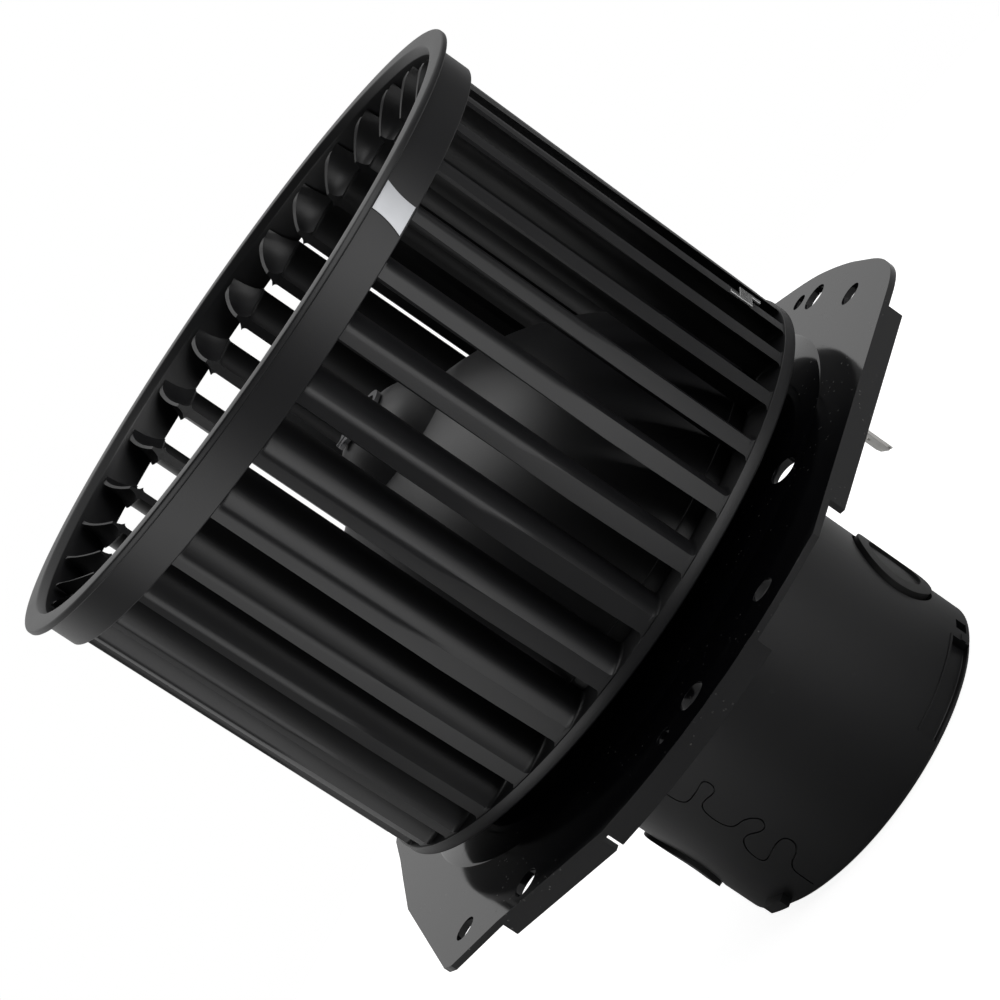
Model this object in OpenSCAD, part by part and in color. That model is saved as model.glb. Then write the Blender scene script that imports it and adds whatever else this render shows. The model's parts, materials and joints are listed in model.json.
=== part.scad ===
// Blower motor with its squirrel-cage wheel and mounting plate.
// Origin: on the shaft axis, in the plane of the plate's wheel-side face.
// +Z runs along the shaft towards the wheel's inlet, and the motor hangs below the plate.

/* [Wheel] */
// Outside diameter of the inlet lip
lip_d = 150; // [148:1:152]
// Outside diameter of the band behind the lip
band_d = 143.8; // [143:0.2:144.2]
// Height of the lip's front face above the plate
lip_z = 101.8; // [100:0.2:103]
// Number of blades
blade_count = 31; // [27:1:33]
// Thickness of one blade
blade_t = 2.2; // [1.6:0.1:2.3]
// Radius of the blades' camber
camber_r = 10.7; // [10:0.1:11.5]
// Diameter of the vent holes in the hub dome
vent_d = 8.5; // [6:0.5:9]

/* [Mounting plate] */
// Sheet thickness
plate_t = 1.5; // [1.2:0.1:1.6]
// Depth of the stiffening flanges below the plate's face
flange_depth = 5; // [4:0.5:6]
// Diameter of the large fixing holes
large_hole_d = 6.6; // [6:0.1:7]
// Diameter of the small fixing holes
small_hole_d = 5.6; // [5:0.1:6]

/* [Motor] */
// Outside diameter of the motor can
can_d = 78; // [77.6:0.1:78.4]
// Wall of the motor can
can_wall = 1.8; // [1.6:0.1:1.9]
// Height of the motor's rear face, below the plate
rear_z = -64.8; // [-66:0.2:-64.6]
// Shaft diameter
shaft_d = 8; // [7.9:0.1:8]

/* [Hidden] */

$fn = 96;
cut = 1;

// Wheel
band_r = band_d / 2;
band_wall = 2.3;
band_h = 9.66;
band_z = lip_z - band_h;
lip_t = 1.46;
lip_corner = 0.4;
ring_top = 10.6;
ring_bottom = 7.8;
ring_r = 69.4;
blade_root_r = 59.6;
blade_inner_r = 60;
blade_r_front = band_r - 1.8;
blade_r_back = 69;
blade_lead = 4.25;
blade_exit = 70;
blade_nose_z = 3;
blade_tip_z = 7;
blade_steps = 9;
blade_phase = -21.5;
pitch = 360 / blade_count;
hub_r = 60.4;
hub_wall = 2.2;
hub_z = 0.5;
rim_r = 59.5;
nose_r = 16.6;
collar_r = 9;
collar_bottom = 44;
rib_count = 6;
rib_t = 1.6;
vent_phase = -11.2;
vent_radius = 30.5;

// Motor
can_r = can_d / 2;
can_in = can_r - can_wall;
can_bottom = rear_z + 1.8;
shaft_r = shaft_d / 2;
fit_gap = 0.03;
core_r = 28.2;
magnet_in = 29;
magnet_out = 37.1;
bush_r = 7;
brush_z = -44.8;
comm_r = 11;
brush_w = 6;
brush_h = 8;
brush_len = 16;
brush_start = comm_r + 0.15;
holder_end = 32.8;
// Each plug: angle round the can, height
plugs = [[-14, -42.8], [178, -44.7]];
plug_r = 10;
plug_hole_r = 10.8;
plug_face = 40;
plug_floor = 39.1;
plug_recess_r = 7;

// Plate
crease_r = 67.5;
raised_r = 53.5;
raised_h = 1.8;
boss_r = 11.4;
large_holes = [[-56.6, -61.5], [-7.9, -82.4], [76.8, 9], [38.8, -49.7], [39, 67.6], [-60, 50.4]];
small_holes = [[-72.5, -44.7], [16.3, -81.5], [79.2, -13.7], [-14, 79]];
pilot_holes = [[74.7, 16.9], [-17.2, -82]];
pilot_d = 4;
ground_rivet = [10, 45.5];
rivet_r = 1.6;
tab_turn = 12;
screw_pcd = 46;
screw_count = 3;
screw_phase = 30;

// Points along an arc about the axis
function arc(r, a0, a1, n, cx = 0, cy = 0) =
    [for (i = [0:n]) let (a = a0 + (a1 - a0) * i / n) [cx + r * cos(a), cy + r * sin(a)]];

// Point at t, from 0 to 1, of the quadratic curve from a to c that b pulls
function curve(a, b, c, t) = pow(1 - t, 2) * a + 2 * t * (1 - t) * b + t * t * c;

// A ring sector between two radii, from angle a0 over da degrees
module sector(r_in, r_out, z0, z1, a0, da) {
    rotate([0, 0, a0])
        rotate_extrude(angle = da)
            translate([r_in, z0])
                square([r_out - r_in, z1 - z0]);
}

// A ring
module ring(r_in, r_out, z0, z1) {
    rotate_extrude()
        translate([r_in, z0])
            square([r_out - r_in, z1 - z0]);
}

// A round hole or bar along the axis
module bar(r, z0, z1) {
    translate([0, 0, z0])
        cylinder(r = r, h = z1 - z0);
}

// A bar that points away from the axis at an angle round it
module radial_bar(r, from, to, a, z) {
    rotate([0, 0, a])
        translate([from, 0, z])
            rotate([0, 90, 0])
                cylinder(r = r, h = to - from);
}

// Wheel: inlet band and its lip
module wheel_inlet_ring() {
    inner = band_r - band_wall;
    color([0.09, 0.09, 0.1])
        rotate_extrude()
            polygon([[inner, band_z], [band_r, band_z], [band_r, lip_z - lip_t],
                [lip_d / 2 - lip_corner, lip_z - lip_t], [lip_d / 2, lip_z - lip_t + lip_corner],
                [lip_d / 2, lip_z - lip_corner], [lip_d / 2 - lip_corner, lip_z],
                [inner + 1.3, lip_z], [inner + 0.5, lip_z - 0.5], [inner, lip_z - 1.6]]);
}

// Heading of the camber line, as it turns from the root to the outer face
function camber_heading(s) = blade_lead - (blade_lead + blade_exit) * s;

// Point on the blade's side, k half-thicknesses from the camber line
function blade_side(s, k) = let (h = camber_heading(s), r = camber_r + k * blade_t / 2)
    [blade_root_r * cos(blade_lead) + camber_r * sin(blade_lead) - r * sin(h),
     blade_root_r * sin(blade_lead) - camber_r * cos(blade_lead) + r * cos(h)];

// Wheel: cambered blades, cut to the wheel's taper and reaching a little inside the band
module wheel_blades() {
    inside = band_r - band_wall;
    color([0.09, 0.09, 0.1])
        intersection() {
            for (k = [0:blade_count - 1])
                rotate([0, 0, blade_phase - k * pitch])
                    translate([0, 0, ring_top])
                        linear_extrude(height = band_z + blade_tip_z - ring_top)
                            polygon(concat([for (i = [0:blade_steps]) blade_side(i / blade_steps, 1)],
                                [for (i = [blade_steps:-1:0]) blade_side(i / blade_steps, -1)]));
            rotate_extrude()
                polygon([[blade_inner_r, ring_top], [blade_r_back, ring_top], [blade_r_front, band_z],
                    [inside, band_z], [inside, band_z + blade_tip_z], [inside - 2.6, band_z + blade_tip_z],
                    [blade_inner_r, band_z + blade_nose_z]]);
        }
}

// Wheel: flat ring that carries the blades' rear ends
module wheel_back_ring() {
    color([0.09, 0.09, 0.1])
        rotate_extrude()
            polygon([[rim_r, ring_bottom], [ring_r - 0.4, ring_bottom], [ring_r, ring_bottom + 0.4],
                [ring_r, ring_top - 0.4], [ring_r - 0.4, ring_top], [rim_r, ring_top]]);
}

// Wheel: domed hub with its raised nose, shaft collar and vent holes
module wheel_hub() {
    inner_r = hub_r - hub_wall;
    inner_rim = rim_r - hub_wall;
    outer_top = acos(nose_r / hub_r);
    outer_low = acos((rim_r - 0.6) / hub_r);
    inner_top = acos(collar_r / inner_r);
    inner_low = acos(inner_rim / inner_r);
    wall_top = hub_z + hub_r * sin(outer_low);
    bore = shaft_r + fit_gap;
    nose_foot = [nose_r, hub_z + hub_r * sin(outer_top)];
    nose_tip = [5.2, 68];
    color([0.09, 0.09, 0.1])
        difference() {
            rotate_extrude()
                polygon(concat(
                    [[rim_r, ring_bottom], [rim_r, wall_top - 0.5], [rim_r - 0.2, wall_top - 0.1]],
                    arc(hub_r, outer_low, outer_top, 18, 0, hub_z),
                    [for (i = [1:8]) curve(nose_foot, [13, 66.5], nose_tip, i / 8)],
                    [[bore, 68], [bore, collar_bottom], [collar_r, collar_bottom]],
                    arc(inner_r, inner_top, inner_low, 18, 0, hub_z),
                    [[inner_rim, ring_bottom]]));
            for (k = [0:rib_count - 1])
                rotate([0, 0, vent_phase + k * 360 / rib_count])
                    translate([0, 0, hub_z])
                        rotate([0, asin(vent_radius / hub_r), 0])
                            translate([0, 0, hub_r - 6])
                                cylinder(d = vent_d, h = 12);
        }
}

// Wheel: ribs under the dome, halfway between the vents, from the shaft collar outwards
module hub_ribs() {
    top_r = hub_r - hub_wall - 0.05;
    root = collar_r + 0.05;
    tip = 50;
    color([0.09, 0.09, 0.1])
        for (k = [0:rib_count - 1])
            rotate([0, 0, vent_phase + (k + 0.5) * 360 / rib_count])
                rotate([90, 0, 0])
                    translate([0, 0, -rib_t / 2])
                        linear_extrude(height = rib_t)
                            polygon(concat([[root, collar_bottom + 1], [tip, 26]],
                                arc(top_r, acos(tip / top_r), acos(root / top_r), 12, 0, hub_z)));
}

// Spring clip round the top of the nose, which grips the hub's collar; it has two ears
module hub_spring_clip() {
    low = 68.05;
    high = 69;
    color([0.35, 0.35, 0.36])
        difference() {
            union() {
                ring(5.2, 6.6, low, high);
                for (a = [166, 194])
                    rotate([0, 0, a])
                        translate([6, -0.45, low])
                            cube([2, 0.9, high - low]);
            }
            rotate([0, 0, 180])
                translate([0, -0.7, low - cut])
                    cube([12, 1.4, high - low + 2 * cut]);
        }
}

// Steel clip pushed on to one blade to balance the wheel: a web with a tongue up one side and down the other
module balance_clip() {
    web = 69.35;
    sheet = 0.5;
    color([0.8, 0.8, 0.8])
        rotate([0, 0, blade_phase])
            union() {
                translate([web, -2.2, 19.4])
                    cube([sheet, 4.4, 3.2]);
                translate([web, -3.1, 19.4])
                    cube([sheet, 1.3, 5.6]);
                translate([web, 1.8, 17.2])
                    cube([sheet, 1.3, 5.4]);
            }
}

// Foil patch stuck on the band to balance the wheel
module balance_patch() {
    color([0.6, 0.62, 0.64])
        sector(band_r + 0.02, band_r + 0.2, band_z, band_z + 8, -63, 7);
}

module motor_shaft() {
    color([0.7, 0.7, 0.72])
        union() {
            bar(shaft_r - 0.6, 66.3, 66.9);
            bar(shaft_r, -61.4, 66.3);
        }
}

// Laminated core: twelve teeth with spread tips
module armature_core() {
    slots = 12;
    color([0.4, 0.4, 0.42])
        difference() {
            bar(core_r, -30, -11);
            bar(shaft_r + fit_gap, -31, -10);
            for (k = [0:slots - 1])
                rotate([0, 0, k * 360 / slots]) {
                    translate([20, -1.3, -31])
                        cube([10, 2.6, 21]);
                    translate([0, 0, -31])
                        linear_extrude(height = 21)
                            polygon([[13.6, -1.6], [25.6, -4.7], [25.6, 4.7], [13.6, 1.6]]);
                }
        }
}

// Copper coils in the slots, with an end turn at each end
module armature_windings() {
    slots = 12;
    color([0.72, 0.4, 0.2])
        union() {
            ring(13.8, 25.2, -33.4, -30.05);
            ring(13.8, 25.2, -10.95, -7.9);
            for (k = [0:slots - 1])
                rotate([0, 0, k * 360 / slots])
                    translate([0, 0, -30.1])
                        linear_extrude(height = 19.2)
                            polygon([[14.2, -1.3], [24.9, -4.1], [24.9, 4.1], [14.2, 1.3]]);
        }
}

module commutator() {
    bars = 12;
    color([0.75, 0.45, 0.25])
        difference() {
            union() {
                bar(comm_r, -50, -36);
                bar(comm_r + 2, -36, -34);
            }
            bar(shaft_r + fit_gap, -51, -33);
            for (k = [0:bars - 1])
                rotate([0, 0, (k + 0.5) * 360 / bars])
                    translate([comm_r - 0.8, -0.25, -51])
                        cube([4, 0.5, 18]);
        }
}

module thrust_washers() {
    color([0.85, 0.82, 0.7]) {
        ring(shaft_r + fit_gap, 6.8, -5.2, -4.3);
        ring(shaft_r + fit_gap, 6.8, -51.7, -50.9);
    }
}

module oil_slinger() {
    color([0.2, 0.2, 0.2])
        ring(shaft_r + fit_gap, 9, -7.2, -5.6);
}

// Porous bronze bush, rounded so that it can align itself
module bush(z0, z1) {
    color([0.65, 0.5, 0.3])
        rotate_extrude()
            polygon([[shaft_r + fit_gap, z0], [bush_r - 0.8, z0], [bush_r, z0 + 1.6], [bush_r, z1 - 1.6],
                [bush_r - 0.8, z1], [shaft_r + fit_gap, z1]]);
}

module front_bearing() {
    bush(-4, 6);
}

module rear_bearing() {
    bush(-61.6, -52.4);
}

module front_bearing_retainer() {
    color([0.7, 0.7, 0.7])
        ring(bush_r + 0.1, 15, -3.6, -3.05);
}

module rear_bearing_retainer() {
    color([0.7, 0.7, 0.7])
        ring(bush_r + 0.1, 10.6, -51.95, -51.4);
}

// Angle of each screw that joins the plate to the motor
module each_screw() {
    for (k = [0:screw_count - 1])
        rotate([0, 0, screw_phase + k * 360 / screw_count])
            translate([screw_pcd / 2, 0, 0])
                children();
}

module front_end_plate() {
    color([0.5, 0.5, 0.52])
        difference() {
            union() {
                bar(can_in - 0.05, -3, 0.25);
                bar(boss_r, -3, 9.5);
            }
            bar(bush_r + 0.05, -3 - cut, 6.1);
            bar(shaft_r + 0.6, 0, 9.5 + cut);
            each_screw()
                bar(1.75, -4, 2);
        }
}

module rear_end_cap() {
    edge = can_r - 0.3;
    color([0.09, 0.09, 0.1])
        difference() {
            rotate_extrude()
                polygon([[0, rear_z], [35, rear_z], [36.6, rear_z + 0.25], [37.8, rear_z + 0.85],
                    [edge, can_bottom - 0.02], [can_in - 0.05, can_bottom - 0.02], [can_in - 0.05, -57.6],
                    [can_in - 1.6, -57.6], [can_in - 1.6, -61], [11, -61], [11, -52], [0, -52]]);
            bar(bush_r + 0.05, -61.7, -52 + cut);
        }
}

// Rolled steel can, with its seam, service holes and end crimps
module motor_can() {
    color([0.09, 0.09, 0.1])
        difference() {
            union() {
                ring(can_in, can_r, can_bottom, 0.25);
                sector(can_r - 0.4, can_r + 0.35, -61.9, -60.7, -33, 3.2);
                sector(can_r - 0.4, can_r + 0.3, -58.4, -57.9, -72.3, 39.3);
                sector(can_r - 0.4, can_r + 2.2, -62, -59.6, -156, 10);
            }
            sector(can_in - cut, can_r + cut, can_bottom - cut, -58.4, -72.3, 39.3);
            sector(can_in - cut, can_r + cut, -62.2, -59.4, -27.5, 5.5);
            for (p = plugs)
                radial_bar(plug_hole_r, 30, 45, p[0], p[1]);
            seam();
        }
}

// Route of the can's interlocking seam: offset round the can, height
seam_route = [[-4.1, 2], [-4.1, -22], [-4.2, -29.2], [1, -28.6], [5.2, -27.2], [5, -31.6], [-1.4, -30.8],
    [-2.8, -36], [-1.6, -40.2], [2.6, -40], [5.4, -42.8], [3, -45.4], [-1.6, -42.6], [-5, -46], [-5.2, -51.4],
    [0.6, -49], [4.8, -49], [4.6, -53], [-1.8, -55], [-2, -60], [-2, -66]];
seam_steps = 5;
seam_half = 0.16;
seam_angle = -131;

// A smooth bend between the middles of two stretches of a route
function bend(a, b, c) = [for (i = [0:seam_steps - 1]) curve((a + b) / 2, b, (b + c) / 2, i / seam_steps)];

// Interlocking seam: a narrow groove along the smoothed route
module seam() {
    last_bend = len(seam_route) - 2;
    line = [for (k = [1:last_bend]) each bend(seam_route[k - 1], seam_route[k], seam_route[k + 1])];
    last = len(line) - 1;
    sides = [for (i = [0:last]) let (d = line[min(i + 1, last)] - line[max(i - 1, 0)])
        seam_half * [-d[1], d[0]] / norm(d)];
    rotate([0, 0, seam_angle])
        rotate([90, 0, 90])
            translate([0, 0, can_r - 0.9])
                linear_extrude(height = 2)
                    polygon(concat([for (i = [0:last]) line[i] + sides[i]],
                        [for (i = [last:-1:0]) line[i] - sides[i]]));
}

module magnets() {
    color([0.25, 0.25, 0.27]) {
        sector(magnet_in, magnet_out, -36, -6, 24, 116);
        sector(magnet_in, magnet_out, -36, -6, 204, 116);
    }
}

// Spring strips that hold the magnets apart against the can
module magnet_clips() {
    color([0.6, 0.6, 0.62]) {
        sector(34.5, 35.3, -32, -8, 150, 44);
        sector(34.5, 35.3, -28, -8, -30, 44);
    }
}

module brush_card() {
    color([0.55, 0.4, 0.25])
        union() {
            ring(14, 33, -51.6, -50);
            for (a = [60, 120, 240, 300])
                sector(32, can_in - 0.2, -51.6, -50, a - 8, 16);
        }
}

// Open-ended box that guides a brush at each side of the commutator
module brush_holders() {
    wall = 1;
    gap = 0.2;
    color([0.75, 0.65, 0.35])
        for (a = [0, 180])
            rotate([0, 0, a])
                difference() {
                    translate([14, -brush_w / 2 - gap - wall, brush_z - brush_h / 2 - gap - wall])
                        cube([holder_end - 14, brush_w + 2 * (gap + wall), brush_h + 2 * (gap + wall)]);
                    translate([14 - cut, -brush_w / 2 - gap, brush_z - brush_h / 2 - gap])
                        cube([holder_end - 14 - wall + cut, brush_w + 2 * gap, brush_h + 2 * gap]);
                }
}

// Carbon brush, turned round the axis to its own side
module brush(a) {
    color([0.2, 0.2, 0.2])
        rotate([0, 0, a])
            translate([brush_start, -brush_w / 2, brush_z - brush_h / 2])
                cube([brush_len, brush_w, brush_h]);
}

module brush_a() {
    brush(0);
}

module brush_b() {
    brush(180);
}

// Short coil spring behind a brush, as closed turns joined by a bar
module brush_spring(a) {
    turns = 4;
    wire = 0.6;
    first = brush_start + brush_len + wire / 2;
    step = (holder_end - 1 - wire / 2 - first) / (turns - 1);
    color([0.75, 0.75, 0.75])
        rotate([0, 0, a])
            union() {
                for (i = [0:turns - 1])
                    translate([first + i * step, 0, brush_z])
                        rotate([0, 90, 0])
                            rotate_extrude()
                                translate([2.2, 0])
                                    circle(d = wire, $fn = 16);
                translate([first, -0.2, brush_z + 2])
                    cube([step * (turns - 1), 0.4, 0.4]);
            }
}

module brush_spring_a() {
    brush_spring(0);
}

module brush_spring_b() {
    brush_spring(180);
}

// Stretches of the plate's outline that carry a flange, counter-clockwise
edge_right = [[37.6, -80.3], [79, -38.2]];
edge_left = [[-66, -60.5], [-40, -83]];
near_r = 92.6;
near_flange = [-114.5, -85.2];
far_r = 87;
far_flange = [70, 130];

// Cuts a quarter off both ends of each stretch of an open line, so its corners get rounder; its ends stay
function softer(p) = let (last = len(p) - 1)
    concat([p[0]], [for (i = [0:last - 1]) each [0.75 * p[i] + 0.25 * p[i + 1], 0.25 * p[i] + 0.75 * p[i + 1]]],
        [p[last]]);

// The rounded lobe on the supply terminal's side, from one flange to the next
far_line = arc(far_r, far_flange[0], far_flange[1], 12);
lobe = concat([edge_right[1]],
    [[84.6, -32.4], [87.6, -26.5], [88.8, -17.5], [87.2, -5.3], [86.4, 0.8], [83.9, 11.3], [80.6, 20.6],
     [72.7, 34.6], [62, 53], [52, 68]],
    arc(far_r, 58, 66, 2), [far_line[0]]);

// Outline of the plate, counter-clockwise, with its round stretches as arcs
plate_outline = concat([edge_right[0]], softer(softer(lobe)), [for (i = [1:12]) far_line[i]],
    arc(far_r, 134, 146, 3),
    [[-74.8, 41.6], [-76.3, 29.4], [-78.3, 17.3], [-81, 0], [-81, -48.5], [-79.4, -51.6]],
    edge_left,
    arc(near_r, near_flange[0], near_flange[1], 6), arc(near_r, -81, -73, 2), [[30.2, -87.8]]);

// The step into the sheet from a straight stretch of the outline
function inward(a, b) = plate_t * [a[1] - b[1], b[0] - a[0]] / norm(b - a);

// A flange below the plate, between two lines of points
module flange(outer, inner) {
    last = len(inner) - 1;
    translate([0, 0, -flange_depth])
        linear_extrude(height = flange_depth - plate_t / 2)
            polygon(concat(outer, [for (i = [0:last]) inner[last - i]]));
}

// A flange along a straight stretch
module straight_flange(edge) {
    step = inward(edge[0], edge[1]);
    flange(edge, [edge[0] + step, edge[1] + step]);
}

// A flange along a round stretch
module round_flange(r, span, n) {
    flange(arc(r, span[0], span[1], n), arc(r - plate_t, span[0], span[1], n));
}

module mounting_plate() {
    color([0.05, 0.05, 0.055])
        difference() {
            union() {
                difference() {
                    translate([0, 0, -plate_t])
                        linear_extrude(height = plate_t)
                            polygon(plate_outline);
                    bar(crease_r, -plate_t - cut, cut);
                }
                rotate_extrude()
                    polygon([[crease_r, -plate_t], [crease_r, 0], [crease_r - 0.5, 0.28],
                        [raised_r, raised_h], [boss_r + 0.3, raised_h], [boss_r + 0.3, raised_h - plate_t],
                        [raised_r - 0.2, raised_h - plate_t]]);
                straight_flange(edge_right);
                straight_flange(edge_left);
                round_flange(near_r, near_flange, 6);
                round_flange(far_r, far_flange, 12);
            }
            for (p = large_holes)
                translate([p[0], p[1], -5])
                    cylinder(d = large_hole_d, h = 10);
            for (p = small_holes)
                translate([p[0], p[1], -5])
                    cylinder(d = small_hole_d, h = 10);
            for (p = pilot_holes)
                translate([p[0], p[1], -5])
                    cylinder(d = pilot_d, h = 10);
            translate([ground_rivet[0], ground_rivet[1], 0])
                bar(rivet_r + 0.05, -1, 3);
            each_screw()
                bar(2.2, -1, 3);
        }
}

// Screws that pass through the plate into the motor's front end plate
module motor_screws() {
    color([0.6, 0.6, 0.62])
        each_screw()
            difference() {
                union() {
                    bar(3.6, raised_h + 0.02, raised_h + 2.6);
                    bar(1.7, -3.2, raised_h + 0.1);
                }
                translate([-3, -0.4, raised_h + 1.6])
                    cube([6, 0.8, 2]);
                translate([-0.4, -3, raised_h + 1.6])
                    cube([0.8, 6, 2]);
            }
}

// Insulating block under the plate that carries the supply terminal
module terminal_block() {
    color([0.12, 0.12, 0.12])
        difference() {
            translate([50, -5, -16])
                cube([15, 19, 14.4]);
            translate([58.5, 4.8, -17])
                rotate([0, 0, tab_turn])
                    translate([-0.45, -3.3, 0])
                        cube([0.9, 6.6, 12]);
        }
}

// A push-on tab that points away from the wheel, with a bevelled tip
module spade(top, bottom) {
    width = 6.3;
    thick = 0.8;
    difference() {
        translate([-thick / 2, -width / 2, bottom])
            cube([thick, width, top - bottom]);
        for (s = [-1, 1])
            translate([-1, s * width / 2, bottom])
                rotate([45, 0, 0])
                    cube([2, 1.4, 1.4], center = true);
        translate([-1, 0, bottom + 5])
            rotate([0, 90, 0])
                cylinder(d = 1.6, h = 2);
    }
}

module power_terminal() {
    color([0.8, 0.8, 0.8])
        translate([58.5, 4.8, 0])
            rotate([0, 0, tab_turn])
                spade(-5.2, -31.6);
}

// Ground tab, whose foot lies against the underside of the plate
module ground_terminal() {
    foot_z = raised_h - plate_t - 0.02;
    color([0.8, 0.8, 0.8])
        translate([ground_rivet[0], ground_rivet[1], 0])
            difference() {
                rotate([0, 0, -90])
                    union() {
                        translate([-5.5, 0, 0])
                            spade(foot_z - 0.1, -15);
                        translate([-5.9, -3.15, foot_z - 0.8])
                            cube([9.5, 6.3, 0.8]);
                    }
                bar(rivet_r + 0.05, -4, 1);
            }
}

// Rivet that holds the ground tab to the plate
module terminal_rivet() {
    color([0.7, 0.7, 0.7])
        translate([ground_rivet[0], ground_rivet[1], 0])
            union() {
                bar(2.8, raised_h + 0.02, raised_h + 1.2);
                bar(rivet_r, -1.6, raised_h + 0.1);
                bar(2.4, -1.6, raised_h - plate_t - 0.84);
            }
}

// Rubber plugs that close the brush service holes, with a dished face that follows the can
module side_plugs() {
    color([0.07, 0.07, 0.07])
        for (p = plugs)
            difference() {
                union() {
                    intersection() {
                        radial_bar(plug_r, 33.4, 45, p[0], p[1]);
                        bar(plug_face, p[1] - 15, p[1] + 15);
                    }
                    radial_bar(12.2, 33.4, 35, p[0], p[1]);
                }
                difference() {
                    radial_bar(plug_recess_r, 36, 46, p[0], p[1]);
                    bar(plug_floor, p[1] - 15, p[1] + 15);
                }
            }
}

wheel_inlet_ring();
wheel_blades();
wheel_back_ring();
wheel_hub();
hub_ribs();
hub_spring_clip();
balance_clip();
balance_patch();
motor_shaft();
armature_core();
armature_windings();
commutator();
thrust_washers();
oil_slinger();
front_bearing();
rear_bearing();
front_bearing_retainer();
rear_bearing_retainer();
front_end_plate();
rear_end_cap();
motor_can();
magnets();
magnet_clips();
brush_card();
brush_holders();
brush_a();
brush_b();
brush_spring_a();
brush_spring_b();
mounting_plate();
motor_screws();
terminal_block();
power_terminal();
ground_terminal();
terminal_rivet();
side_plugs();
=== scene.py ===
import json
import math

import bmesh
import bpy
import numpy as np
from mathutils import Matrix, Vector


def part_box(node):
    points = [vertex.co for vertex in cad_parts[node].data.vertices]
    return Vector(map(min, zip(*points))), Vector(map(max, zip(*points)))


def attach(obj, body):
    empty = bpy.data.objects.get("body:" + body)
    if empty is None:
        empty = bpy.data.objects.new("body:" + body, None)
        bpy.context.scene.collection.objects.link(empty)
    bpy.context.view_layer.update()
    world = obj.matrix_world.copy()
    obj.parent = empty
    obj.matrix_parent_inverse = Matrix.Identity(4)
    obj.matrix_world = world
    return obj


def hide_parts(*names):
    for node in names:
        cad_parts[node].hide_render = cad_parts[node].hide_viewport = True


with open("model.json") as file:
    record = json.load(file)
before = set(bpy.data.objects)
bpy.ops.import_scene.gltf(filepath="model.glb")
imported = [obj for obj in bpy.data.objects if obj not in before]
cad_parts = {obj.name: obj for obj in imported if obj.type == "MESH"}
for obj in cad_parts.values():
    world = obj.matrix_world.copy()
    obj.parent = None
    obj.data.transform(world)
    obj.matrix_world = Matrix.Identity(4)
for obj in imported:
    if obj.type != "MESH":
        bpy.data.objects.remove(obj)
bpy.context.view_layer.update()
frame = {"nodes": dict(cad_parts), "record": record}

MM = 0.001
TAU = 2 * math.pi

# Wheel, in millimetres, read from the frame
LIP_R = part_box("wheel_inlet_ring")[1].x / MM
LIP_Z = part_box("wheel_inlet_ring")[1].z / MM
BAND_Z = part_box("wheel_inlet_ring")[0].z / MM
RING_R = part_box("wheel_back_ring")[1].x / MM
RING_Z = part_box("wheel_back_ring")[0].z / MM
RING_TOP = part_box("wheel_back_ring")[1].z / MM
REAR_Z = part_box("rear_end_cap")[0].z / MM
BAND_R = 71.9
BAND_INNER = 69.6
LIP_T = 1.46
RIM_R = 59.5
HUB_R = 60.4
HUB_WALL = 2.2
HUB_CENTRE = 0.5
NOSE_R = 16.6
NOSE_PULL = (13.0, 66.5)
NOSE_TIP = (5.2, 68.0)
COLLAR_R = 9.0
COLLAR_Z = 44.0
BORE_R = 4.03
BLADES = 31
BLADE_PHASE = -21.5
BLADE_T = 2.2
CAMBER_R = 10.7
ROOT_R = 59.6
BLADE_INNER = 60.0
BLADE_TAPER = (69.0, 70.1)
SIDE_POINTS = 13
LEAD = 4.25
EXIT = 70.0
VENTS = 6
VENT_PHASE = -11.2
VENT_RADIUS = 30.5
VENT_R = 4.25
PATCH_MID = -59.6
PATCH_HALF = 2.9
PATCH_H = 7.2
FLOOR_R = 330
SHARP_TURN = 28


# ---------------------------------------------------------------- meshes

def new_object(name, verts, faces, smooth=35):
    """A mesh object from points in millimetres and a list or array of faces."""
    mesh = bpy.data.meshes.new(name)
    faces = faces.tolist() if isinstance(faces, np.ndarray) else faces
    mesh.from_pydata((np.asarray(verts, float) * MM).tolist(), [], faces)
    mesh.validate()
    piece = bpy.data.objects.new(name, mesh)
    bpy.context.scene.collection.objects.link(piece)
    shade(piece, smooth)
    return piece


def shade(piece, angle=35):
    """Smooth shading, with the edges that turn by more than the angle kept sharp."""
    mesh = piece.data
    mesh.polygons.foreach_set("use_smooth", np.ones(len(mesh.polygons), bool))
    mesh.set_sharp_from_angle(angle=math.radians(angle))


def grid_faces(rows, columns, wrap_rows=False, wrap_columns=False):
    """Quads between neighbours of a grid whose point (i, j) has the index i * columns + j."""
    i = np.arange(rows if wrap_rows else rows - 1)
    j = np.arange(columns if wrap_columns else columns - 1)
    i, j = np.meshgrid(i, j, indexing="ij")
    below = (i + 1) % rows
    beside = (j + 1) % columns
    quads = (i * columns + j, i * columns + beside, below * columns + beside, below * columns + j)
    return np.stack(quads, -1).reshape(-1, 4)


def rounded(outline, radii, steps=5):
    """A closed outline whose corners become arcs: each corner's arc touches both sides at the same distance
    from the corner, radius times the tangent of half the turn."""
    outline = np.asarray(outline, float)
    radii = np.broadcast_to(radii, len(outline))
    result = []
    for k, corner in enumerate(outline):
        back = outline[k - 1] - corner
        ahead = outline[(k + 1) % len(outline)] - corner
        back_len = np.linalg.norm(back)
        ahead_len = np.linalg.norm(ahead)
        back = back / back_len
        ahead = ahead / ahead_len
        half = 0.5 * math.acos(np.clip(back @ ahead, -1, 1))
        reach = min(radii[k] / math.tan(half), 0.49 * back_len, 0.49 * ahead_len) if half < 1.56 else 0
        if reach < 1e-4:
            result.append(corner)
            continue
        radius = reach * math.tan(half)
        middle = back + ahead
        centre = corner + middle / np.linalg.norm(middle) * radius / math.sin(half)
        start = corner + back * reach - centre
        stop = corner + ahead * reach - centre
        turn = math.pi - 2 * half
        for s in np.linspace(0, 1, steps):
            arc = (math.sin((1 - s) * turn) * start + math.sin(s * turn) * stop) / math.sin(turn)
            result.append(centre + arc)
    return np.array(result)


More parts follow.
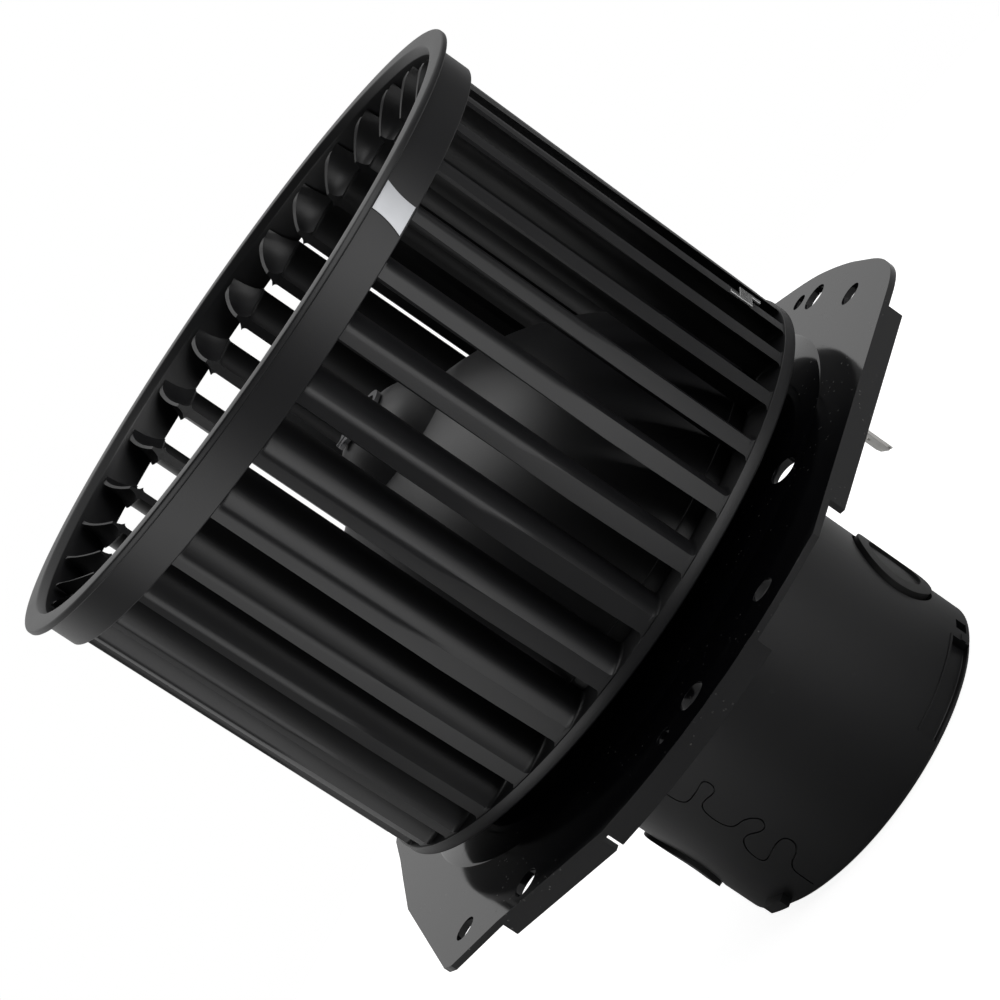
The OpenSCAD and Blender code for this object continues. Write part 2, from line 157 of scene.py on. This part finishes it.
def revolve(name, outline, segments=192, smooth=35):
    """A closed outline of (radius, height) points carried once round the axis."""
    outline = np.asarray(outline, float)
    area = np.sum(outline[:, 0] * np.roll(outline[:, 1], -1) - np.roll(outline[:, 0], -1) * outline[:, 1])
    if area < 0:
        outline = outline[::-1]
    angle = np.arange(segments) * TAU / segments
    radius, height = outline[:, 0], outline[:, 1]
    x = np.outer(np.cos(angle), radius)
    y = np.outer(np.sin(angle), radius)
    z = np.broadcast_to(height, x.shape)
    verts = np.stack((x, y, z), -1).reshape(-1, 3)
    return new_object(name, verts, grid_faces(segments, len(outline), True, True), smooth)


def stand_for(piece, body, slot, material, *nodes):
    """The piece rides on its body, takes its material, and replaces its CAD nodes. The slot argument is not
    used.
    """
    piece.data.materials.clear()
    piece.data.materials.append(material)
    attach(piece, body)
    if nodes:
        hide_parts(*nodes)
    return piece


def softened(node, width):
    """A copy of a CAD node with its triangles merged, flat areas joined and its edges rounded by a bevel."""
    source = frame["nodes"][node]
    mesh = source.data.copy()
    piece = bpy.data.objects.new(node + "_soft", mesh)
    bpy.context.scene.collection.objects.link(piece)
    work = bmesh.new()
    work.from_mesh(mesh)
    bmesh.ops.remove_doubles(work, verts=work.verts, dist=2e-6)
    bmesh.ops.dissolve_limit(work, angle_limit=math.radians(0.4), verts=work.verts, edges=work.edges)
    work.to_mesh(mesh)
    work.free()
    if "custom_normal" in mesh.attributes:
        mesh.attributes.remove(mesh.attributes["custom_normal"])
    shade(piece, SHARP_TURN)
    bevel = piece.modifiers.new("Edges", "BEVEL")
    bevel.width = width * MM
    bevel.segments = 2
    bevel.limit_method = "ANGLE"
    bevel.angle_limit = math.radians(SHARP_TURN)
    bevel.use_clamp_overlap = True
    bevel.harden_normals = True
    return piece


def carve(piece, cutters):
    """Cuts closed cutters out of a piece and throws the cutters away."""
    for cutter in cutters:
        cut = piece.modifiers.new("Cut", "BOOLEAN")
        cut.operation = "DIFFERENCE"
        cut.solver = "EXACT"
        cut.object = cutter
    bpy.context.view_layer.update()
    graph = bpy.context.evaluated_depsgraph_get()
    mesh = bpy.data.meshes.new_from_object(piece.evaluated_get(graph))
    piece.modifiers.clear()
    piece.data = mesh
    for cutter in cutters:
        bpy.data.objects.remove(cutter)
    return piece


# ---------------------------------------------------------------- materials

class Wire:
    """A shader socket. Its operators add Math nodes, and add() makes any other node."""

    def __init__(self, tree, socket=None):
        self.tree = tree
        self.socket = socket

    def add(self, kind, settings=None, inputs=None, out=0):
        node = self.tree.nodes.new(kind)
        for name, value in (settings or {}).items():
            if name == "stops":
                ramp = node.color_ramp
                while len(ramp.elements) < len(value):
                    ramp.elements.new(0.5)
                for element, (place, shade_of) in zip(ramp.elements, value):
                    element.position = place
                    element.color = (shade_of, shade_of, shade_of, 1)
            else:
                setattr(node, name, value)
        for key, value in (inputs or {}).items():
            if isinstance(value, Wire):
                self.tree.links.new(value.socket, node.inputs[key])
            else:
                node.inputs[key].default_value = value
        return Wire(self.tree, node.outputs[out])

    def math(self, operation, first, second):
        return self.add("ShaderNodeMath", {"operation": operation}, {0: first, 1: second})

    def __add__(self, other):
        return self.math("ADD", self, other)

    def __radd__(self, other):
        return self.math("ADD", other, self)

    def __mul__(self, other):
        return self.math("MULTIPLY", self, other)

    def __rsub__(self, other):
        return self.math("SUBTRACT", other, self)


def principled(name, fixed):
    """A material with one Principled shader. Gives the material, its shader node and a wire to build on."""
    material = bpy.data.materials.new(name)
    material.use_nodes = True
    tree = material.node_tree
    shader = tree.nodes["Principled BSDF"]
    for key, value in fixed.items():
        shader.inputs[key].default_value = value
    return material, shader, Wire(tree)


def noise(wire, scale, detail=2.0, rough=0.5):
    """Fractal noise on Object coordinates, with scale in lumps per metre."""
    place = wire.add("ShaderNodeTexCoord", out="Object")
    return wire.add("ShaderNodeTexNoise", {},
                    {"Vector": place, "Scale": scale, "Detail": detail, "Roughness": rough})


def ramp(wire, value, *stops):
    """The value passed through a ramp of (position, grey) stops."""
    return wire.add("ShaderNodeValToRGB", {"stops": stops}, {"Fac": value})


def tint(wire, factor, first, second):
    """The mix of two colours by a factor."""
    return wire.add("ShaderNodeMix", {"data_type": "RGBA"},
                    {"Factor": factor, 6: (*first, 1), 7: (*second, 1)}, out=2)


def bump(wire, height, strength, distance):
    """A normal bent by a height."""
    return wire.add("ShaderNodeBump", {}, {"Height": height, "Strength": strength, "Distance": distance})


def connect(wire, shader, **sockets):
    """Links wires to the shader's sockets, whose names have spaces for underscores."""
    for name, value in sockets.items():
        wire.tree.links.new(value.socket, shader.inputs[name.replace("_", " ")])


def moulded_plastic():
    """Satin black moulded plastic: a fine spark-eroded grain and a faint unevenness in its sheen."""
    material, shader, wire = principled("wheel_plastic", {"Specular IOR Level": 0.5})
    grain = noise(wire, 2600, 3, 0.6)
    cloud = noise(wire, 34, 3)
    connect(wire, shader,
            Base_Color=tint(wire, cloud, (0.007, 0.007, 0.008), (0.012, 0.012, 0.013)),
            Roughness=0.28 + cloud * 0.1 + grain * 0.08,
            Normal=bump(wire, grain, 0.25, 0.00006))
    return material


def satin_steel():
    """Black electro-coated steel: smooth satin with a slight orange peel and a few rubbed spots."""
    material, shader, wire = principled("black_steel", {"Specular IOR Level": 0.5})
    peel = noise(wire, 900, 2)
    cloud = noise(wire, 26, 4)
    rub = ramp(wire, noise(wire, 210, 5, 0.7), (0.66, 0.0), (0.74, 1.0))
    connect(wire, shader,
            Base_Color=tint(wire, rub, (0.010, 0.010, 0.011), (0.022, 0.022, 0.023)),
            Roughness=0.30 + cloud * 0.12 + rub * 0.1,
            Normal=bump(wire, peel, 0.1, 0.00005))
    return material


def gloss_paint():
    """Gloss black paint with fine dust caught in it."""
    material, shader, wire = principled("gloss_black_paint", {"Specular IOR Level": 0.5})
    peel = noise(wire, 160, 2)
    place = wire.add("ShaderNodeTexCoord", out="Object")
    cells = wire.add("ShaderNodeTexVoronoi", {}, {"Vector": place, "Scale": 620.0}, out="Distance")
    patch = ramp(wire, noise(wire, 45, 2), (0.45, 0.0), (0.62, 1.0))
    dust = ramp(wire, cells, (0.0, 1.0), (0.10, 0.5), (0.16, 0.0)) * patch
    connect(wire, shader,
            Base_Color=tint(wire, dust, (0.003, 0.003, 0.004), (0.13, 0.13, 0.12)),
            Roughness=0.10 + dust * 0.4,
            Normal=bump(wire, peel, 0.05, 0.0001))
    return material


def metal(name, colour, low, high, scale=400):
    """Bare or plated metal with fine wear in its roughness."""
    material, shader, wire = principled(name, {"Metallic": 1.0})
    wear = noise(wire, scale, 4)
    connect(wire, shader,
            Base_Color=tint(wire, wear, colour, tuple(0.8 * c for c in colour)),
            Roughness=low + wear * (high - low),
            Normal=bump(wire, wear, 0.05, 0.00005))
    return material


def dull(name, colour, rough):
    """A matt surface: rubber, fibre, plastic, carbon or ferrite."""
    material, shader, wire = principled(name, {})
    grain = noise(wire, 700, 3)
    connect(wire, shader,
            Base_Color=tint(wire, grain, colour, tuple(0.7 * c for c in colour)),
            Roughness=rough - 0.05 + grain * 0.1,
            Normal=bump(wire, grain, 0.2, 0.00008))
    return material


FINISHES = {
    "wheel_plastic": moulded_plastic(),
    "black_steel": satin_steel(),
    "gloss_black_paint": gloss_paint(),
    "spring_steel": metal("spring_steel", (0.30, 0.30, 0.31), 0.3, 0.5),
    "bright_steel": metal("bright_steel", (0.78, 0.78, 0.78), 0.18, 0.34),
    "foil": metal("foil", (0.55, 0.56, 0.58), 0.34, 0.5, 120),
    "ground_steel": metal("ground_steel", (0.62, 0.62, 0.63), 0.15, 0.3),
    "lamination": metal("lamination", (0.28, 0.28, 0.30), 0.35, 0.55),
    "copper": metal("copper", (0.70, 0.33, 0.16), 0.25, 0.4),
    "nylon": dull("nylon", (0.80, 0.76, 0.66), 0.45),
    "fibre": dull("fibre", (0.32, 0.20, 0.10), 0.7),
    "bronze": metal("bronze", (0.55, 0.38, 0.20), 0.35, 0.5),
    "zinc_steel": metal("zinc_steel", (0.55, 0.56, 0.58), 0.3, 0.45),
    "ferrite": dull("ferrite", (0.09, 0.09, 0.10), 0.6),
    "brass": metal("brass", (0.72, 0.54, 0.24), 0.25, 0.4),
    "carbon": dull("carbon", (0.05, 0.05, 0.05), 0.5),
    "black_plastic": dull("black_plastic", (0.02, 0.02, 0.02), 0.42),
    "tinned_brass": metal("tinned_brass", (0.76, 0.75, 0.72), 0.22, 0.38),
    "black_rubber": dull("black_rubber", (0.018, 0.018, 0.018), 0.5),
}


# ---------------------------------------------------------------- wheel

def wheel_inlet_ring():
    """The inlet band with its outward lip: a profile with rounded corners, turned round the axis."""
    back = LIP_Z - LIP_T
    outline = [(BAND_INNER, BAND_Z), (BAND_R, BAND_Z), (BAND_R, back), (LIP_R, back), (LIP_R, LIP_Z),
               (BAND_INNER + 0.9, LIP_Z), (BAND_INNER, LIP_Z - 1.8)]
    radii = (0.15, 0.3, 0.5, 0.45, 0.45, 0.5, 0.8)
    return revolve("inlet_ring", rounded(outline, radii), 288)


def blade_mesh():
    """One blade at angle 0, as a grid: rows are heights, columns go round its section.

    The camber line starts at the root radius, heading along LEAD degrees, and turns clockwise on an arc of
    CAMBER_R to the heading -EXIT. The two sides lie half a thickness to each side of it, and stop where they
    meet the wheel's taper or at that heading. Near each end the sides move apart on a quarter circle, the
    moulding's fillet. The end goes round the taper to a corner square to the inner side's last point."""
    fillet = 0.9
    overlap = 0.4
    low = RING_TOP
    high = BAND_Z
    near = np.array([0, 0.08, 0.2, 0.4, 0.7, 1.0]) * fillet
    middle = np.linspace(low + 1.4 * fillet, high - 1.4 * fillet, 7)
    heights = np.concatenate(([low - overlap], low + near, middle, (high - near)[::-1]))
    from_end = np.clip(np.minimum(heights - low, high - heights), 0, fillet)
    spread = fillet - np.sqrt(fillet ** 2 - (fillet - from_end) ** 2)
    taper = np.interp(heights, (low, high), BLADE_TAPER)
    s = np.linspace(0, 1.35, 60)
    heading = np.radians(LEAD - (LEAD + EXIT) * s)
    centre_x = ROOT_R * math.cos(math.radians(LEAD)) + CAMBER_R * math.sin(math.radians(LEAD))
    centre_y = ROOT_R * math.sin(math.radians(LEAD)) - CAMBER_R * math.cos(math.radians(LEAD))
    rows = []
    for height, wide, limit in zip(heights, spread, taper):
        row = []
        for side in (1, -1):
            r = CAMBER_R + side * (BLADE_T / 2 + wide)
            x = centre_x - r * np.sin(heading)
            y = centre_y + r * np.cos(heading)
            radii = np.hypot(x, y)
            stop = min(np.interp(limit, radii, s), 1.0)
            places = np.linspace(np.interp(BLADE_INNER, radii, s), stop, SIDE_POINTS)
            row.append(np.stack((np.interp(places, s, x), np.interp(places, s, y)), -1))
        last = row[1][-1]
        turn = math.radians(LEAD - (LEAD + EXIT) * stop)
        square = np.array([-math.sin(turn), math.cos(turn)])
        along = last @ square
        corner = last + max(math.sqrt(along ** 2 - last @ last + limit ** 2) - along, 0.02) * square
        outer = np.linspace(row[0][-1], corner, 4)[1:]
        outer[:2] *= (limit / np.hypot(outer[:2, 0], outer[:2, 1]))[:, None]
        loop = np.concatenate((row[0], outer, row[1][::-1]))
        rows.append(np.column_stack((loop, np.full(len(loop), height))))
    # Inside the band the blade goes on, thinner: its edge slants up from the root to the band's wall
    top = rows[-1].copy()
    radius = np.hypot(top[:, 0], top[:, 1])
    middle_line = (top + top[::-1]) / 2
    for share, thick in ((0.25, 0.55), (0.6, 0.3), (1.0, 0.2)):
        level = np.interp(radius, (60, 67, 69.2, 69.6), (94.8, 99.0, 99.3, BAND_Z + 0.6))
        step = middle_line + thick * (top - middle_line)
        step[:, 2] = BAND_Z + share * (level - BAND_Z)
        shrink = (radius.clip(max=69.9) / radius)[:, None]
        step[:, :2] *= shrink
        rows.append(step)
    return np.array(rows)


def wheel_blades():
    """All blades, each turned by one pitch from the last, with their ends capped."""
    grid = blade_mesh()
    rows, columns, _ = grid.shape
    wall = grid_faces(rows, columns, False, True)
    cap = []
    for j in range(SIDE_POINTS - 1):
        cap.append((j, j + 1, columns - 2 - j, columns - 1 - j))
    cap.append(tuple(range(SIDE_POINTS - 1, SIDE_POINTS + 4)))
    verts = []
    faces = []
    points = grid.reshape(-1, 3)
    for k in range(BLADES):
        turn = math.radians(BLADE_PHASE - k * 360 / BLADES)
        c, s = math.cos(turn), math.sin(turn)
        spun = points @ np.array([[c, s, 0], [-s, c, 0], [0, 0, 1]])
        first = k * len(points)
        verts.append(spun)
        faces += (wall + first).tolist()
        faces += [[first + i for i in face] for face in cap]
        last = first + (rows - 1) * columns
        faces += [[last + i for i in reversed(face)] for face in cap]
    piece = new_object("blades", np.concatenate(verts), faces, 40)
    fix_normals(piece)
    edges = piece.modifiers.new("Edges", "BEVEL")
    edges.width = 0.22 * MM
    edges.segments = 2
    edges.limit_method = "ANGLE"
    edges.angle_limit = math.radians(50)
    return piece


def fix_normals(piece):
    """Turns all faces of a closed mesh outwards."""
    work = bmesh.new()
    work.from_mesh(piece.data)
    bmesh.ops.recalc_face_normals(work, faces=work.faces)
    work.to_mesh(piece.data)
    work.free()


def dome_arc(radius, start, stop, count):
    """Points of the dome's circle, about its centre on the axis, from one radius to another."""
    angle = np.linspace(math.acos(start / radius), math.acos(stop / radius), count)
    return np.column_stack((radius * np.cos(angle), HUB_CENTRE + radius * np.sin(angle)))


def wheel_hub():
    """The dome with its rim, raised nose and shaft collar, turned round the axis, with vents cut through it.

    The nose is a quadratic curve (1-t)^2 a + 2t(1-t) b + t^2 c from the dome's inner edge to the
    collar's top."""
    inner = HUB_R - HUB_WALL
    rim_inner = RIM_R - HUB_WALL
    outer = dome_arc(HUB_R, RIM_R - 0.6, NOSE_R, 40)
    wall_top = outer[0][1]
    rim = [(rim_inner, RING_Z), (RIM_R, RING_Z),
           (RIM_R, wall_top - 0.5), (RIM_R - 0.2, wall_top - 0.1)]
    foot = outer[-1]
    t = np.linspace(0, 1, 13)[1:, None]
    bow = (1 - t) ** 2 * foot + 2 * t * (1 - t) * np.array(NOSE_PULL) + t ** 2 * np.array(NOSE_TIP)
    nose = np.concatenate((bow, [(BORE_R, NOSE_TIP[1]), (BORE_R, COLLAR_Z), (COLLAR_R, COLLAR_Z)]))
    under = dome_arc(inner, COLLAR_R, rim_inner, 32)
    outline = np.concatenate((rim, outer, nose, under))
    piece = revolve("hub", outline, 192)
    cutters = []
    for k in range(VENTS):
        turn = math.radians(VENT_PHASE + k * 360 / VENTS)
        tilt = math.asin(VENT_RADIUS / HUB_R)
        low, high = HUB_R - 8, HUB_R + 6
        drill = revolve("vent", [(0.01, low), (VENT_R, low), (VENT_R, high), (0.01, high)], 48)
        spin = Matrix.Rotation(turn, 4, "Z") @ Matrix.Rotation(tilt, 4, "Y")
        drill.data.transform(Matrix.Translation((0, 0, HUB_CENTRE * MM)) @ spin)
        cutters.append(drill)
    carve(piece, cutters)
    shade(piece, 30)
    return piece


def wheel_back_ring():
    """The flat ring that joins the blades' rear ends to the hub's rim."""
    outline = [(RIM_R - 0.4, RING_Z), (RING_R, RING_Z), (RING_R, RING_TOP), (RIM_R - 0.4, RING_TOP)]
    return revolve("back_ring", rounded(outline, (0, 0.45, 0.12, 0)), 288)


def build_wheel():
    """The wheel's four mouldings and the patch on its band."""
    plastic = FINISHES["wheel_plastic"]
    stand_for(wheel_inlet_ring(), "rotor", "wheel_plastic", plastic, "wheel_inlet_ring")
    stand_for(wheel_blades(), "rotor", "wheel_plastic", plastic, "wheel_blades")
    stand_for(wheel_back_ring(), "rotor", "wheel_plastic", plastic, "wheel_back_ring")
    stand_for(wheel_hub(), "rotor", "wheel_plastic", plastic, "wheel_hub")
    stand_for(balance_patch(), "rotor", "foil", FINISHES["foil"], "balance_patch")


def balance_patch():
    """A foil patch on the band, with sides that curve inwards.

    The grid runs u from -1 to 1 round the band and v from 0 to 1 along the axis. Its half width is
    PATCH_HALF * (1 - waist * (1 - (2 v - 1)^2)), so it is narrowest halfway up."""
    waist = 0.12
    lean = 1.3
    u, v = np.meshgrid(np.linspace(-1, 1, 19), np.linspace(0, 1, 15), indexing="ij")
    half = PATCH_HALF * (1 - waist * (1 - (2 * v - 1) ** 2))
    angle = np.radians(PATCH_MID + half * u + lean * (v - 0.5))
    height = BAND_Z + 0.5 + v * PATCH_H
    verts = []
    for radius in (BAND_R + 0.03, BAND_R + 0.17):
        verts.append(np.stack((radius * np.cos(angle), radius * np.sin(angle), height), -1).reshape(-1, 3))
    rows, columns = u.shape
    below = grid_faces(rows, columns)
    above = below + rows * columns
    rim = list(range(columns)) + [i * columns + columns - 1 for i in range(1, rows)]
    rim += [(rows - 1) * columns + j for j in range(columns - 2, -1, -1)]
    rim += [i * columns for i in range(rows - 2, 0, -1)]
    skirt = [(a, b, b + rows * columns, a + rows * columns) for a, b in zip(rim, rim[1:] + rim[:1])]
    piece = new_object("patch", np.concatenate(verts), below[:, ::-1].tolist() + above.tolist() + skirt, 40)
    fix_normals(piece)
    return piece


# ---------------------------------------------------------------- everything kept from CAD

SLOT_OF = {part["node"]: part["material_slot"] for part in frame["record"]["subparts"]}
BODY_OF = {node: body for body, nodes in frame["record"]["behaviour"]["bodies"].items() for node in nodes}
REMADE = ("wheel_inlet_ring", "wheel_blades", "wheel_back_ring", "wheel_hub", "balance_patch")
BEVELS = {"mounting_plate": 0.45, "motor_can": 0.2, "rear_end_cap": 0.25, "side_plugs": 0.5,
          "power_terminal": 0.12, "terminal_block": 0.5, "ground_terminal": 0.12, "motor_screws": 0.2,
          "terminal_rivet": 0.3, "balance_clip": 0.12, "hub_spring_clip": 0.15, "front_end_plate": 0.3}


def build_metalwork():
    """Pieces whose CAD shape is right: some get rounded edges, and every one gets its own finish."""
    for node, piece in frame["nodes"].items():
        slot = SLOT_OF[node]
        if node in REMADE:
            continue
        if node in BEVELS:
            soft = softened(node, BEVELS[node])
            stand_for(soft, BODY_OF[node], slot, FINISHES[slot], node)
        else:
            piece.data.materials.clear()
            piece.data.materials.append(FINISHES[slot])


# ---------------------------------------------------------------- studio

def camera():
    """A long lens, a little above the plate's plane, rolled so that the inlet points up and to the left."""
    aim = Vector((0.0022, 0, 0.0339))
    distance = 0.6942
    elevation = math.radians(12.31)
    roll = math.radians(55.6)
    data = bpy.data.cameras.new("camera")
    data.lens = 118.35
    data.sensor_width = 36
    data.clip_start = 0.05
    view = bpy.data.objects.new("camera", data)
    bpy.context.scene.collection.objects.link(view)
    back = Vector((0, -math.cos(elevation), math.sin(elevation)))
    level = Vector((1, 0, 0))
    up = back.cross(level)
    right = level * math.cos(roll) - up * math.sin(roll)
    top = back.cross(right)
    turn = Matrix((right, top, back)).transposed().to_4x4()
    view.matrix_world = Matrix.Translation(aim + back * distance) @ turn
    bpy.context.scene.camera = view


def area_light(name, place, target, size, power):
    """A square area light at a place, turned towards a target."""
    data = bpy.data.lights.new(name, "AREA")
    data.energy = power
    data.shape = "SQUARE"
    data.size = size
    light = bpy.data.objects.new(name, data)
    light.location = place
    light.rotation_euler = (Vector(target) - Vector(place)).to_track_quat("-Z", "Y").to_euler()
    bpy.context.scene.collection.objects.link(light)


# Soft areas of the surroundings: direction, angle of the full core, angle of the faded edge, brightness
SOFT_AREAS = [((0.68, -0.70, -0.21), 12, 34, 1.9),
              ((-0.85, -0.49, -0.21), 10, 36, 1.6),
              ((-0.25, 0.94, 0.22), 10, 60, 0.55),
              ((0.75, 0.35, 0.55), 10, 50, 0.5)]
DIM = 0.07


def studio():
    """A white floor under the motor, dim surroundings with soft bright areas, and a white backdrop."""
    world = bpy.data.worlds.new("studio")
    world.use_nodes = True
    bpy.context.scene.world = world
    wire = Wire(world.node_tree)
    seen = wire.add("ShaderNodeLightPath", out="Is Camera Ray")
    direction = wire.add("ShaderNodeTexCoord", out="Generated")
    light = None
    for toward, core, edge, bright in SOFT_AREAS:
        facing = wire.add("ShaderNodeVectorMath", {"operation": "DOT_PRODUCT"},
                          {0: direction, 1: Vector(toward).normalized()}, out="Value")
        area = wire.add("ShaderNodeMapRange", {"interpolation_type": "SMOOTHSTEP"},
                        {"Value": facing, "From Min": math.cos(math.radians(edge)),
                         "From Max": math.cos(math.radians(core)), "To Min": 0.0, "To Max": bright})
        light = area if light is None else light + area
    strength = seen + (1.0 - seen) * (light + DIM)
    surroundings = world.node_tree.nodes["Background"]
    surroundings.inputs["Color"].default_value = (1, 1, 1, 1)
    wire.tree.links.new(strength.socket, surroundings.inputs["Strength"])
    bpy.context.scene.view_settings.view_transform = "Standard"
    low = REAR_Z - 3
    floor = revolve("floor", [(0.01, low), (FLOOR_R, low), (FLOOR_R, REAR_Z), (0.01, REAR_Z)], 96)
    material, shader, wire = principled("floor", {"Base Color": (0.8, 0.8, 0.8, 1), "Roughness": 0.9,
                                                  "Emission Color": (1, 1, 1, 1)})
    seen = wire.add("ShaderNodeLightPath", out="Is Camera Ray")
    wire.tree.links.new((seen * 0.9).socket, shader.inputs["Emission Strength"])
    floor.data.materials.append(material)
    target = (0, 0, 0.03)
    area_light("key", (0.75, -0.55, 0.45), target, 0.45, 1.6)
    area_light("top", (0.15, 0.3, 1.0), target, 0.7, 2.4)


camera()
build_wheel()
build_metalwork()
studio()
